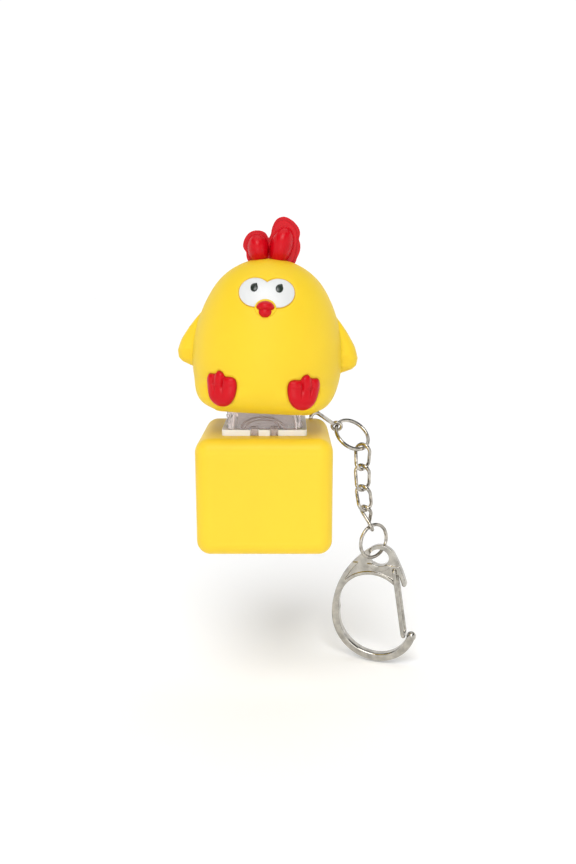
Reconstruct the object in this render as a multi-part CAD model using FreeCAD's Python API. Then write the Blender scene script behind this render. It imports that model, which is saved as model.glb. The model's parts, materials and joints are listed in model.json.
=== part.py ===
import FreeCAD, Part
import math
import os
from FreeCAD import Placement, Rotation, Vector

# A push-button keychain: a soft chick keycap on a mechanical key switch, in a rounded cube
# case with a button cell light-and-sound circuit, and a wire eye, ring, curb chain and
# wire-gate hook at the case's back right corner.
# Frame: +Z up, +X to the toy's left-hand side as it faces -Y, origin at the middle of the
# case's bottom face. Millimetres.

# ---- driving dimensions -------------------------------------------------------------
CASE_WIDTH = 25.0
CASE_HEIGHT = 21.8
CASE_ROUNDING = 2.6
DECK_THICKNESS = 1.6
CAVITY_WIDTH = 18.7
CAVITY_CORNER = 1.5
COVER_WIDTH = 18.4
COVER_THICKNESS = 1.7
SCREW_RADIUS = 0.55
SCREW_HEAD_TOP = 0.9
SCREW_TIP = 6.2
SOUND_HOLE_CIRCLE = 2.6

SWITCH_BODY = 14.0
SWITCH_DEPTH = 5.0
FLANGE_WIDTH = 15.6
FLANGE_THICKNESS = 1.1
FLANGE_CORNER = 0.8
LATCH_OFFSET = 1.8
LATCH_WIDTH = 1.55
LATCH_DEPTH = 0.85
HOUSING_TOP = 6.6
HOUSING_TOP_WIDTH = 12.9
POST_OFFSET = 6.35
STEM_TOP = 10.2
TRAVEL = 3.6
PIN_LENGTH = 3.3
TERMINALS = ((-3.81, 2.54), (2.54, 5.08))
SPRING_WIRE = 0.2
SPRING_COIL = 1.85
SPRING_TURNS = 6
ARCS_PER_TURN = 6

BOARD_WIDTH = 18.0
BOARD_THICKNESS = 1.2

CELL_DIAMETER = 11.6
CELL_HEIGHT = 3.05
CELL_COUNT = 3

CHICK_BOTTOM = 26.15
CHICK_OFFSET = 0.05
CHICK_LEAN = 2.5
CHICK_YAW = -2.0
CHICK_BASE = 18.6
CHICK_BASE_CORNER = 3.5
KEYCAP_CAVITY = 17.0
KEYCAP_CAVITY_TOP = 33.4
INSERT_PLATE = 14.6
INSERT_THICKNESS = 1.6
POST_DIAMETER = 5.5

EYE_LEG = (9.0, 9.6)
EYE_LEG_FOOT = 16.6
EYE_BEND_HEIGHT = 24.0
EYE_WIRE = 0.42
EYE_CENTRE = Vector(14.5, 12.1, 19.8)
EYE_AXIS = Vector(0.07, 0.93, 0.36)
EYE_LOOP = 0.98
EYE_LOOP_WIRE = 0.33

RING_RADIUS = 3.75
RING_WIRE = 0.40
RING_DROP = 29.0
RING_ROLL = 55.0
RING_HANG = -35.0

LINK_WIRE = 0.375
LINK_LENGTH = 5.38
LINK_CORNER_WIDTH = 3.9
LINK_BEND_REACH = 1.86
LINK_GAP = 0.12
LINK_TWIST = 45.0
LINK_LEANS = (0.0, 3.0, 9.0, 17.0)
LAST_LINK_TWIST = 105.0

JUMP_RADIUS = 3.6
JUMP_YAW = 35.0
JUMP_HANG = 100.0

HOOK_YAW = -18.0
HOOK_THICKNESS = 2.0
RIM_ROUNDING = 0.45
HOOK_HEAD_THICKNESS = 1.3
HOOK_HOLE = (2.1, 1.85)
HOOK_CENTRE = Vector(24.1, 11.6, -8.8)
GATE_WIRE = 0.40
GATE_PIVOT = (3.4, -2.4)
GATE_END = (5.75, -17.3)
GATE_SPREAD = 1.5

UP = Vector(0, 0, 1)
BACK = Vector(0, 1, 0)
RIGHT = Vector(1, 0, 0)

DECK = CASE_HEIGHT
FLANGE_TOP = DECK + FLANGE_THICKNESS
BODY_BOTTOM = DECK - SWITCH_DEPTH
HOUSING_Z = DECK + HOUSING_TOP
BOARD_BOTTOM = BODY_BOTTOM - BOARD_THICKNESS
COVER_TOP = COVER_THICKNESS
SCREW_PLACES = ((-7.1, 7.1), (7.1, -7.1))


# ---- helpers ------------------------------------------------------------------------
def block(x0, x1, y0, y1, z0, z1):
    return Part.makeBox(x1 - x0, y1 - y0, z1 - z0, Vector(x0, y0, z0))


def square_block(width, z0, z1, corner=0.0):
    """A square prism about the Z axis, with rounded upright edges."""
    half = width / 2.0
    solid = block(-half, half, -half, half, z0, z1)
    if corner > 0.0:
        upright = [e for e in solid.Edges if abs(e.tangentAt(e.FirstParameter).z) > 0.9]
        solid = solid.makeFillet(corner, upright)
    return solid


def rod(radius, z0, z1, x=0.0, y=0.0):
    return Part.makeCylinder(radius, z1 - z0, Vector(x, y, z0), UP)


def bar(start, end, radius):
    axis = end - start
    return Part.makeCylinder(radius, axis.Length, start, axis)


def ball(radius, x, y, z):
    return Part.makeSphere(radius, Vector(x, y, z))


def bent_tube(points, bends, radius):
    """A round wire along straight runs joined by tangent arcs, one bend per inner point."""
    edges = []
    start = points[0]
    for before, corner, after, bend in zip(points, points[1:], points[2:], bends):
        towards = (before - corner).normalize()
        onward = (after - corner).normalize()
        half_turn = (math.pi - towards.getAngle(onward)) / 2.0
        reach = bend * math.tan(half_turn)
        enter = corner + towards * reach
        leave = corner + onward * reach
        middle = corner + (towards + onward).normalize() * (bend / math.cos(half_turn) - bend)
        if (enter - start).Length > 1e-6:
            edges.append(Part.LineSegment(start, enter).toShape())
        edges.append(Part.Arc(enter, middle, leave).toShape())
        start = leave
    if (points[-1] - start).Length > 1e-6:
        edges.append(Part.LineSegment(start, points[-1]).toShape())
    path = Part.Wire(edges)
    heading = edges[0].tangentAt(edges[0].FirstParameter)
    section = Part.Wire([Part.Circle(points[0], heading, radius).toShape()])
    return path.makePipeShell([section], True, False)


def save(node, shape):
    solids = shape.Solids
    result = solids[0] if len(solids) == 1 else Part.makeCompound(solids)
    result.exportStep("parts/" + node + ".step")
    print(node, len(solids), "solids", "valid", result.isValid(), "volume", round(result.Volume, 2))


# ---- case ---------------------------------------------------------------------------
def case_body():
    outer = square_block(CASE_WIDTH, 0.0, CASE_HEIGHT)
    outer = outer.makeFillet(CASE_ROUNDING, outer.Edges)
    cavity = square_block(CAVITY_WIDTH, -1.0, DECK - DECK_THICKNESS, CAVITY_CORNER)
    window = square_block(SWITCH_BODY + 0.1, DECK - 3.0, DECK + 1.0)
    shell = outer.cut(cavity).cut(window)
    for x, y in SCREW_PLACES:
        shell = shell.fuse(screw_boss(x, y))
    shell = shell.fuse(block(7.7, 9.7, 8.2, 9.7, EYE_LEG_FOOT - 1.0, DECK - 1.0))
    for x, y in SCREW_PLACES:
        shell = shell.cut(rod(SCREW_RADIUS, COVER_TOP - 1.0, SCREW_TIP + 0.4, x, y))
    leg_hole = rod(EYE_WIRE, EYE_LEG_FOOT, DECK + 1.0, EYE_LEG[0], EYE_LEG[1])
    return shell.cut(leg_hole).removeSplitter()


def screw_boss(x, y):
    """A post in a corner of the cavity that a cover screw bites into."""
    side_x = math.copysign(CAVITY_WIDTH / 2.0 + 0.3, x)
    side_y = math.copysign(CAVITY_WIDTH / 2.0 + 0.3, y)
    gusset = block(min(x, side_x), max(x, side_x), min(y, side_y), max(y, side_y), COVER_TOP, 8.5)
    return rod(1.9, COVER_TOP, 8.5, x, y).fuse(gusset)


def bottom_cover():
    """The lid under the case: two counterbored screw holes and a ring of sound holes."""
    cover = square_block(COVER_WIDTH, 0.0, COVER_TOP, 1.4)
    for x, y in SCREW_PLACES:
        cover = cover.cut(rod(0.85, -1.0, COVER_TOP + 1.0, x, y))
        cover = cover.cut(rod(1.45, -1.0, SCREW_HEAD_TOP, x, y))
    for index in range(6):
        angle = math.radians(60.0 * index)
        x = SOUND_HOLE_CIRCLE * math.cos(angle)
        y = SOUND_HOLE_CIRCLE * math.sin(angle)
        cover = cover.cut(rod(0.5, -1.0, COVER_TOP + 1.0, x, y))
    return cover


def cover_screws():
    screws = []
    for x, y in SCREW_PLACES:
        head = rod(1.3, 0.15, SCREW_HEAD_TOP, x, y)
        slot_x = block(x - 0.8, x + 0.8, y - 0.13, y + 0.13, 0.0, 0.5)
        slot_y = block(x - 0.13, x + 0.13, y - 0.8, y + 0.8, 0.0, 0.5)
        shank = rod(SCREW_RADIUS, SCREW_HEAD_TOP, SCREW_TIP, x, y)
        screws.append(head.fuse(shank).cut(slot_x.fuse(slot_y)))
    return Part.makeCompound(screws)


# ---- electronics --------------------------------------------------------------------
def circuit_board():
    board = square_block(BOARD_WIDTH, BOARD_BOTTOM, BODY_BOTTOM, 1.0)
    board = board.cut(block(7.3, 10.0, 7.8, 10.0, 0.0, 30.0))
    board = board.cut(rod(2.1, 0.0, 30.0))
    for x, y in TERMINALS:
        board = board.cut(rod(0.8, 0.0, 30.0, x, y))
    return board


def chip_blob():
    dome = ball(3.2, -5.0, -5.0, BOARD_BOTTOM + 2.1)
    return dome.common(rod(4.0, BOARD_BOTTOM - 2.0, BOARD_BOTTOM, -5.0, -5.0))


def led():
    base = block(-1.75, 1.75, -6.1, -3.9, BODY_BOTTOM, BODY_BOTTOM + 0.7)
    lens = block(-1.4, 1.4, -5.9, -4.1, BODY_BOTTOM + 0.7, BODY_BOTTOM + 1.3)
    return base.fuse(lens).removeSplitter()


SPEAKER_TOP = COVER_TOP + 0.45
CELLS_BOTTOM = 3.6
CELLS_TOP = CELLS_BOTTOM + CELL_COUNT * CELL_HEIGHT
STRIP = 0.25
WIRE_X = 7.4


def speaker_disc():
    brass = rod(6.0, COVER_TOP, COVER_TOP + 0.25)
    ceramic = rod(4.5, COVER_TOP + 0.25, SPEAKER_TOP)
    return brass.fuse(ceramic)


def foam_pad():
    return rod(4.0, SPEAKER_TOP, CELLS_BOTTOM - STRIP)


def button_cells():
    cells = []
    for index in range(CELL_COUNT):
        bottom = CELLS_BOTTOM + index * CELL_HEIGHT
        can = rod(CELL_DIAMETER / 2.0, bottom + 0.3, bottom + CELL_HEIGHT)
        cap = rod(CELL_DIAMETER / 2.0 - 0.9, bottom, bottom + 0.3)
        cells.append(can.fuse(cap).removeSplitter())
    return Part.makeCompound(cells)


def cell_holder():
    inner = CELL_DIAMETER / 2.0 + 0.1
    tube = rod(inner + 0.8, CELLS_BOTTOM, CELLS_TOP).cut(rod(inner, 0.0, 30.0))
    window = block(-10.0, 10.0, -2.5, 2.5, CELLS_BOTTOM + 2.5, CELLS_TOP - 2.5)
    return tube.cut(window)


def battery_contacts():
    lower = block(-2.0, WIRE_X + 0.5, -1.5, 1.5, CELLS_BOTTOM - STRIP, CELLS_BOTTOM)
    upper = block(-WIRE_X - 0.5, 2.0, -1.5, 1.5, CELLS_TOP, CELLS_TOP + STRIP)
    return Part.makeCompound([lower, upper])


def lead_wires():
    lower = rod(0.4, CELLS_BOTTOM, BOARD_BOTTOM, WIRE_X, 0.0)
    upper = rod(0.4, CELLS_TOP + STRIP, BOARD_BOTTOM, -WIRE_X, 0.0)
    return Part.makeCompound([lower, upper])


# ---- key switch ---------------------------------------------------------------------
FLOOR = BODY_BOTTOM + 1.4
SLIDER_TOP = HOUSING_Z - 1.1
SLIDER_BOTTOM = FLOOR + TRAVEL + 0.65
SPRING_TOP = SLIDER_TOP - 1.0


def latch_places():
    return [(x, side) for x in (-LATCH_OFFSET, LATCH_OFFSET) for side in (-1.0, 1.0)]


def lower_housing():
    flange = square_block(FLANGE_WIDTH, DECK, FLANGE_TOP, FLANGE_CORNER)
    body = square_block(SWITCH_BODY, BODY_BOTTOM, DECK, 0.4)
    shape = flange.fuse(body).cut(square_block(SWITCH_BODY - 2.0, FLOOR, FLANGE_TOP + 1.0, 0.6))
    for x, side in latch_places():
        edge = side * FLANGE_WIDTH / 2.0
        inner = edge - side * LATCH_DEPTH
        notch = block(x - LATCH_WIDTH / 2.0, x + LATCH_WIDTH / 2.0, min(inner, edge + side),
                      max(inner, edge + side), DECK - 0.1, FLANGE_TOP + 1.0)
        shape = shape.cut(notch)
    shape = shape.fuse(rod(2.0, BODY_BOTTOM - PIN_LENGTH, BODY_BOTTOM))
    shape = shape.fuse(rod(1.45, FLOOR, FLOOR + 1.4))
    shape = shape.cut(rod(1.1, BODY_BOTTOM - 2.6, FLOOR + 2.0))
    shape = shape.cut(block(-1.9, 1.9, -6.3, -3.7, BODY_BOTTOM - 0.1, FLOOR + 1.0))
    for x, y in TERMINALS:
        shape = shape.cut(rod(0.6, BODY_BOTTOM - 1.0, FLOOR + 1.0, x, y))
    return shape.removeSplitter()


def tapered_shell(base, top, z0, z1, corner):
    """A solid square frustum with rounded sloping edges."""
    low = square_wire(base, z0, corner)
    high = square_wire(top, z1, corner)
    return Part.makeLoft([low, high], True, True)


def square_wire(width, z, corner):
    half = width / 2.0
    flat = half - corner
    edges = []
    for quarter in range(4):
        turn = Rotation(UP, 90.0 * quarter)
        side = Part.LineSegment(turn.multVec(Vector(half, -flat, z)), turn.multVec(Vector(half, flat, z)))
        knee = corner * math.sqrt(0.5)
        bend = Part.Arc(turn.multVec(Vector(half, flat, z)),
                        turn.multVec(Vector(flat + knee, flat + knee, z)),
                        turn.multVec(Vector(flat, half, z)))
        edges += [side.toShape(), bend.toShape()]
    return Part.Wire(edges)


def upper_housing():
    outer = tapered_shell(14.1, HOUSING_TOP_WIDTH, FLANGE_TOP + 0.05, HOUSING_Z, 1.2)
    inner = tapered_shell(12.1, HOUSING_TOP_WIDTH - 1.7, FLANGE_TOP, HOUSING_Z - 1.0, 0.7)
    arch_zone = tapered_shell(14.7, HOUSING_TOP_WIDTH + 0.6, FLANGE_TOP + 0.05, HOUSING_Z, 1.2)
    shape = outer
    for side in (-1.0, 1.0):
        shape = shape.fuse(front_arch(side).common(arch_zone))
    shape = shape.fuse(corner_posts())
    shape = shape.cut(inner)
    shape = shape.cut(block(-3.6, 3.6, -2.95, 2.95, HOUSING_Z - 2.0, HOUSING_Z + 1.0))
    for x, side in latch_places():
        near = side * (SWITCH_BODY / 2.0 - 0.6)
        far = side * (FLANGE_WIDTH / 2.0 - 0.1)
        root = block(x - 0.65, x + 0.65, min(near, far), max(near, far), FLANGE_TOP + 0.05, FLANGE_TOP + 0.6)
        hook_inner = side * (FLANGE_WIDTH / 2.0 - LATCH_DEPTH + 0.1)
        leg = block(x - 0.65, x + 0.65, min(hook_inner, far), max(hook_inner, far),
                    DECK + 0.05, FLANGE_TOP + 0.6)
        shape = shape.fuse(root).fuse(leg)
    return shape.removeSplitter()


def corner_posts():
    """A ledged post at each corner of the clear housing, which stiffens its walls."""
    posts = []
    for x in (-POST_OFFSET, POST_OFFSET):
        for y in (-POST_OFFSET, POST_OFFSET):
            posts.append(rod(0.45, FLANGE_TOP + 0.05, HOUSING_Z - 1.2, x, y))
            for level in (0.9, 2.3):
                posts.append(rod(0.65, FLANGE_TOP + level, FLANGE_TOP + level + 0.35, x, y))
    return posts


def front_arch(side):
    """A raised arched rib on the sloping front or back wall of the clear housing."""
    centre = Vector(0.0, side * 5.0, FLANGE_TOP - 2.6)
    outer = Part.makeCylinder(5.0, 3.0, centre, BACK * side)
    inner = Part.makeCylinder(4.55, 3.0, centre, BACK * side)
    return outer.cut(inner)


def switch_stem():
    slider = block(-4.3, 4.3, -3.6, 3.6, SLIDER_BOTTOM, SLIDER_TOP)
    wings = block(-5.2, 5.2, -1.0, 1.0, SLIDER_BOTTOM, SLIDER_TOP - 1.4)
    neck = block(-3.4, 3.4, -2.75, 2.75, SLIDER_TOP, HOUSING_Z + 0.2)
    stem = slider.fuse(wings).fuse(neck).cut(rod(2.6, SLIDER_BOTTOM - 1.0, SPRING_TOP))
    stem = stem.fuse(rod(1.0, FLOOR + 0.8, SPRING_TOP + 0.2))
    stem = stem.fuse(stem_cross(0.0, HOUSING_Z + 0.2, DECK + STEM_TOP))
    actuator = block(-1.6, 1.0, 3.5, 4.15, SLIDER_BOTTOM, SLIDER_BOTTOM + 3.4)
    return stem.fuse(actuator).removeSplitter()


def stem_cross(grow, z0, z1):
    along = block(-2.05 - grow, 2.05 + grow, -0.6 - grow, 0.6 + grow, z0, z1)
    across = block(-0.6 - grow, 0.6 + grow, -2.05 - grow, 2.05 + grow, z0, z1)
    return along.fuse(across).removeSplitter()


def return_spring():
    """A coil spring: short arcs of wire, a few to each turn, that climb at an even pitch."""
    height = SPRING_TOP - FLOOR - 2.0 * SPRING_WIRE - 0.3
    count = int(SPRING_TURNS * ARCS_PER_TURN)
    step = 2.0 * math.pi / ARCS_PER_TURN
    corner = SPRING_COIL / math.cos(step / 2.0)
    points = []
    for index in range(count + 1):
        rise = FLOOR + SPRING_WIRE + 0.15 + height * index / count
        points.append(Vector(corner * math.cos(step * index), corner * math.sin(step * index), rise))
    return bent_tube(points, [SPRING_COIL * 0.96] * (count - 1), SPRING_WIRE)


def contact_terminals():
    pins = []
    for x, y in TERMINALS:
        pins.append(rod(0.5, BODY_BOTTOM - PIN_LENGTH, FLOOR + 0.5, x, y))
    blade = block(-2.2, 3.0, 5.15, 5.4, FLOOR + 0.5, FLOOR + 4.3)
    fixed = pins[1].fuse(blade).fuse(block(1.8, 3.0, 5.0, 5.4, FLOOR + 0.3, FLOOR + 0.6))
    arm = block(-4.2, -3.4, 2.3, 4.95, FLOOR + 0.3, FLOOR + 0.5)
    return Part.makeCompound([fixed, pins[0].fuse(arm)])


def contact_leaf():
    strip = block(-4.2, 0.8, 4.6, 4.75, FLOOR + 0.55, FLOOR + 4.0)
    return strip.fuse(ball(0.16, -0.3, 4.77, FLOOR + 3.4))


# ---- chick keycap -------------------------------------------------------------------
EGG_OUTLINE = ((7.6, 0.0), (9.6, 0.35), (11.7, 1.5), (13.2, 3.6), (14.0, 7.2), (13.95, 11.8),
               (12.75, 17.0), (10.75, 21.4), (8.95, 23.85), (6.6, 25.75), (3.6, 27.15), (0.0, 27.6))


def egg(grow):
    """The chick's body of revolution, with its skin moved outward by the given amount."""
    curve = Part.BSplineCurve()
    curve.interpolate([Vector(r, 0, z) for r, z in EGG_OUTLINE])
    skin = []
    for radius, height in EGG_OUTLINE:
        place = Vector(radius, 0, height)
        along = Vector(curve.tangent(curve.parameter(place))[0])
        moved = place + Vector(along.z, 0, -along.x) * grow
        skin.append(moved)
    skin[-1].x = 0.0
    grown = Part.BSplineCurve()
    grown.interpolate(skin)
    bottom = Vector(0, 0, skin[0].z)
    edges = [Part.LineSegment(bottom, skin[0]).toShape(), grown.toShape(),
             Part.LineSegment(skin[-1], bottom).toShape()]
    return Part.Face(Part.Wire(edges)).revolve(Vector(0, 0, 0), UP, 360.0)


def seat(shape):
    """Puts a piece made about the chick's own axis on the stem, with its lean and turn."""
    placed = shape.copy()
    lean = Rotation(BACK, CHICK_LEAN)
    turn = Rotation(UP, CHICK_YAW)
    perch = Placement(Vector(CHICK_OFFSET, 0, CHICK_BOTTOM), lean.multiply(turn))
    placed.Placement = perch.multiply(placed.Placement)
    return placed


def front_rod(x, z, radius):
    return Part.makeCylinder(radius, 12.0, Vector(x, -18.0, z), BACK)


def front_oval(x, z, wide, high):
    """A prism through the chick's front, a wide oval in front view."""
    middle = Vector(x, -18.0, z)
    curve = Part.Ellipse(middle + RIGHT * wide, middle + UP * high, middle)
    return Part.Face(Part.Wire([curve.toShape()])).extrude(Vector(0, 12.0, 0))


def foot_outline(side):
    toes = ((7.55, 5.95, 1.75), (5.95, 5.0, 1.5), (8.65, 5.2, 1.5), (7.1, 3.6, 2.2))
    shape = None
    for x, z, radius in toes:
        toe = front_rod(side * x, z, radius)
        shape = toe if shape is None else shape.fuse(toe)
    return shape


def beak_shape():
    return ball(1.45, 0.0, -12.2, 18.75)


def comb_shape():
    lobes = [ball(2.65, -2.65, 0.0, 29.75), ball(2.75, 2.5, 0.0, 29.75), ball(2.7, 2.45, 0.4, 32.4)]
    return lobes[0].fuse(lobes[1:])


def wing_shapes():
    """Each wing is three balls in a row down the flank, half sunk in the body."""
    row = ((14.55, 9.75, 2.4), (13.9, 12.4, 2.2), (12.9, 15.0, 1.8))
    return [ball(radius, side * x, 0.3, z) for side in (-1.0, 1.0) for x, z, radius in row]


def keycap_insert():
    top = square_block(INSERT_PLATE, KEYCAP_CAVITY_TOP, KEYCAP_CAVITY_TOP + INSERT_THICKNESS, 1.5)
    post = rod(POST_DIAMETER / 2.0, HOUSING_Z + 0.35, KEYCAP_CAVITY_TOP)
    socket = stem_cross(0.03, HOUSING_Z, DECK + STEM_TOP + 0.1)
    return top.fuse(post).cut(socket).removeSplitter()


def skin_piece(prism, proud, depth):
    """What a prism holds of the chick's skin, from a depth below it to a little proud of it."""
    return prism.common(egg(proud)).cut(egg(-depth))


def chick_pieces():
    beak = beak_shape()
    eyes = front_oval(-2.0, 21.5, 2.93, 2.48).fuse(front_oval(2.0, 21.5, 2.93, 2.48))
    patch = skin_piece(eyes, 0.25, 0.8).cut(beak)
    pupils = [skin_piece(front_rod(x, 22.2, 0.66), 0.4, 0.3) for x in (-2.17, 2.17)]
    for pupil in pupils:
        patch = patch.cut(pupil)
    feet = [skin_piece(foot_outline(side), 0.85, 0.8) for side in (-1.0, 1.0)]
    comb = comb_shape().cut(egg(-0.3))
    base = square_block(CHICK_BASE, 0.0, 6.0, CHICK_BASE_CORNER)
    base = base.makeFillet(0.6, [e for e in base.Edges if e.BoundBox.ZMax < 1e-6])
    body = egg(0.0).fuse([base] + wing_shapes())
    for piece in [patch, beak, comb] + pupils + feet:
        body = body.cut(piece)
    return {"body": body, "eye_patch": patch, "beak": beak, "comb": comb,
            "pupils": Part.makeCompound(pupils), "left_foot": feet[1], "right_foot": feet[0]}


def chick_hollow():
    """The room inside the keycap: the square skirt, the insert's seat and the hollow above."""
    skirt = square_block(KEYCAP_CAVITY, CHICK_BOTTOM - 3.0, KEYCAP_CAVITY_TOP, 2.0)
    seat_room = square_block(INSERT_PLATE, KEYCAP_CAVITY_TOP, KEYCAP_CAVITY_TOP + INSERT_THICKNESS, 1.5)
    start = KEYCAP_CAVITY_TOP + INSERT_THICKNESS
    wall = ((0.0, start), (6.4, start), (9.4, start + 3.5), (9.2, start + 8.0), (5.5, start + 14.0),
            (0.0, start + 15.5))
    edges = [Part.LineSegment(Vector(a[0], 0, a[1]), Vector(b[0], 0, b[1])).toShape()
             for a, b in zip(wall, wall[1:] + wall[:1])]
    room = Part.Face(Part.Wire(edges)).revolve(Vector(0, 0, 0), UP, 360.0)
    return skirt.fuse(seat_room).fuse(room)


# ---- wire eye and rings -------------------------------------------------------------
def eye_pin():
    foot = Vector(EYE_LEG[0], EYE_LEG[1], EYE_LEG_FOOT)
    crest = Vector(EYE_LEG[0], EYE_LEG[1], EYE_BEND_HEIGHT)
    shank_end = EYE_CENTRE + (crest - EYE_CENTRE).normalize() * EYE_LOOP
    wire = bent_tube([foot, crest, shank_end], [1.1], EYE_WIRE)
    loop = Part.makeTorus(EYE_LOOP, EYE_LOOP_WIRE, EYE_CENTRE, EYE_AXIS)
    cap = Part.makeSphere(EYE_WIRE, shank_end)
    hole = bar(EYE_CENTRE - EYE_AXIS, EYE_CENTRE + EYE_AXIS, EYE_LOOP - EYE_LOOP_WIRE)
    return wire.fuse(cap).cut(hole).fuse(loop)


def ring_frame():
    """The hanging ring's two in-plane directions, its centre and its axis."""
    drop = math.radians(RING_DROP)
    roll = math.radians(RING_ROLL)
    outward = Vector(math.cos(drop), 0, -math.sin(drop))
    lift = Vector(math.sin(drop), 0, math.cos(drop))
    across = lift * math.cos(roll) + BACK * math.sin(roll)
    centre = EYE_CENTRE + outward * RING_RADIUS
    return outward, across, centre


def hanging_ring():
    outward, across, centre = ring_frame()
    return Part.makeTorus(RING_RADIUS, RING_WIRE, centre, outward.cross(across))


def link_frames():
    """Top and bottom middle points of each link's centre line, from the ring to the jump ring."""
    outward, across, centre = ring_frame()
    hang = math.radians(RING_HANG)
    perch = centre + outward * (RING_RADIUS * math.cos(hang)) + across * (RING_RADIUS * math.sin(hang))
    top = perch + UP * (RING_WIRE + LINK_WIRE + LINK_GAP)
    frames = []
    for index, lean in enumerate(LINK_LEANS):
        angle = math.radians(lean)
        down = Vector(math.sin(angle), 0.02, -math.cos(angle)).normalize()
        if index > 0:
            top = frames[-1][1] - down * (2.0 * LINK_WIRE + LINK_GAP)
        frames.append((top, top + down * LINK_LENGTH))
    return frames


def curb_link(top, bottom, top_turn, bottom_turn):
    """A twisted oval link: its top bow and bottom bow point different ways."""
    half = LINK_CORNER_WIDTH / 2.0
    high = Vector(math.cos(math.radians(top_turn)), math.sin(math.radians(top_turn)), 0) * half
    low = Vector(math.cos(math.radians(bottom_turn)), math.sin(math.radians(bottom_turn)), 0) * half
    right_middle = (top + high + bottom + low) * 0.5
    left_middle = (top - high + bottom - low) * 0.5
    halves = []
    for route in ([right_middle, top + high, top - high, left_middle],
                  [left_middle, bottom - low, bottom + low, right_middle]):
        bends = [bend_that_fits(*corner) for corner in zip(route, route[1:], route[2:])]
        halves.append(bent_tube(route, bends, LINK_WIRE))
    return halves[0].fuse(halves[1]).removeSplitter()


def bend_that_fits(before, corner, after):
    """The bend radius whose arc starts the link's reach away from its corner."""
    towards = (before - corner).normalize()
    onward = (after - corner).normalize()
    return LINK_BEND_REACH / math.tan((math.pi - towards.getAngle(onward)) / 2.0)


def jump_frame():
    """The lower ring's horizontal direction, its centre and its axis."""
    yaw = math.radians(JUMP_YAW)
    sideways = Vector(math.cos(yaw), math.sin(yaw), 0)
    hang = math.radians(JUMP_HANG)
    bottom = link_frames()[-1][1]
    perch = bottom + UP * (2.0 * LINK_WIRE + LINK_GAP)
    centre = perch - sideways * (JUMP_RADIUS * math.cos(hang)) - UP * (JUMP_RADIUS * math.sin(hang))
    return sideways, centre


def jump_ring():
    sideways, centre = jump_frame()
    return Part.makeTorus(JUMP_RADIUS, LINK_WIRE, centre, sideways.cross(UP))


# ---- hook ---------------------------------------------------------------------------
HOOK_ARM = 0.85
BOTTOM_ARC = (Vector(-0.3, 0, -13.9), 9.2)
TIP_ARC = (Vector(-0.3, 0, -15.16), 7.94)
BACK_ARC = (Vector(8.9, 0, -13.9), 18.4)
HEAD_RADIUS = 2.6
HEAD_START = 123.0
HEAD_END = 30.0
TAIL_ARC = 30.0
TAIL_END = 16.7
THROAT_ARC = (Vector(-1.5, 0, -11.3), 7.2)
THROAT_END = 48.0
TIP_ANGLE = -15.6
TIP_BALL = 1.05


def polar(centre, radius, degrees):
    angle = math.radians(degrees)
    return centre + Vector(math.cos(angle), 0, math.sin(angle)) * radius


def sweep_arc(centre, radius, start, end):
    middle = (start + end) / 2.0
    return Part.Arc(polar(centre, radius, start), polar(centre, radius, middle),
                    polar(centre, radius, end)).toShape()


def circle_meeting(first, second):
    """The left one of the two points where two circles of the hook's plane meet."""
    apart = second[0] - first[0]
    along = (apart.Length ** 2 + first[1] ** 2 - second[1] ** 2) / (2.0 * apart.Length)
    aside = math.sqrt(first[1] ** 2 - along ** 2)
    way = Vector(apart).normalize()
    normal = Vector(way.z, 0, -way.x)
    places = [first[0] + way * along + normal * aside, first[0] + way * along - normal * aside]
    return min(places, key=lambda place: place.x)


def bearing(centre, place):
    return math.degrees(math.atan2(place.z - centre.z, place.x - centre.x))


def hook_outer_edges(inset):
    """The outside of the hook from its tip round the bottom, back and head to its tail."""
    grow = HOOK_ARM - inset
    head = polar(BACK_ARC[0], BACK_ARC[1] - HEAD_RADIUS, HEAD_START)
    tail = polar(head, HEAD_RADIUS + HOOK_ARM - TAIL_ARC, HEAD_END)
    return [sweep_arc(TIP_ARC[0], TIP_ARC[1] + grow, TIP_ANGLE, -90.0),
            sweep_arc(BOTTOM_ARC[0], BOTTOM_ARC[1] + grow, -90.0, -180.0),
            sweep_arc(BACK_ARC[0], BACK_ARC[1] + grow, 180.0, HEAD_START),
            sweep_arc(head, HEAD_RADIUS + grow, HEAD_START, HEAD_END),
            sweep_arc(tail, TAIL_ARC - inset, HEAD_END, TAIL_END)]


def joined(edges):
    """The edges end to end, with a short straight run wherever two of them don't meet."""
    chain = []
    for edge in edges:
        if chain:
            gap_start = chain[-1].Vertexes[-1].Point
            if (edge.Vertexes[0].Point - gap_start).Length > 1e-6:
                chain.append(Part.LineSegment(gap_start, edge.Vertexes[0].Point).toShape())
        chain.append(edge)
    first = chain[0].Vertexes[0].Point
    last = chain[-1].Vertexes[-1].Point
    if (first - last).Length > 1e-6:
        chain.append(Part.LineSegment(last, first).toShape())
    return Part.Face(Part.Wire(chain))


def plate(face, thickness):
    solid = face.extrude(Vector(0, thickness, 0))
    solid.translate(Vector(0, -thickness / 2.0, 0))
    return solid


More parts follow.
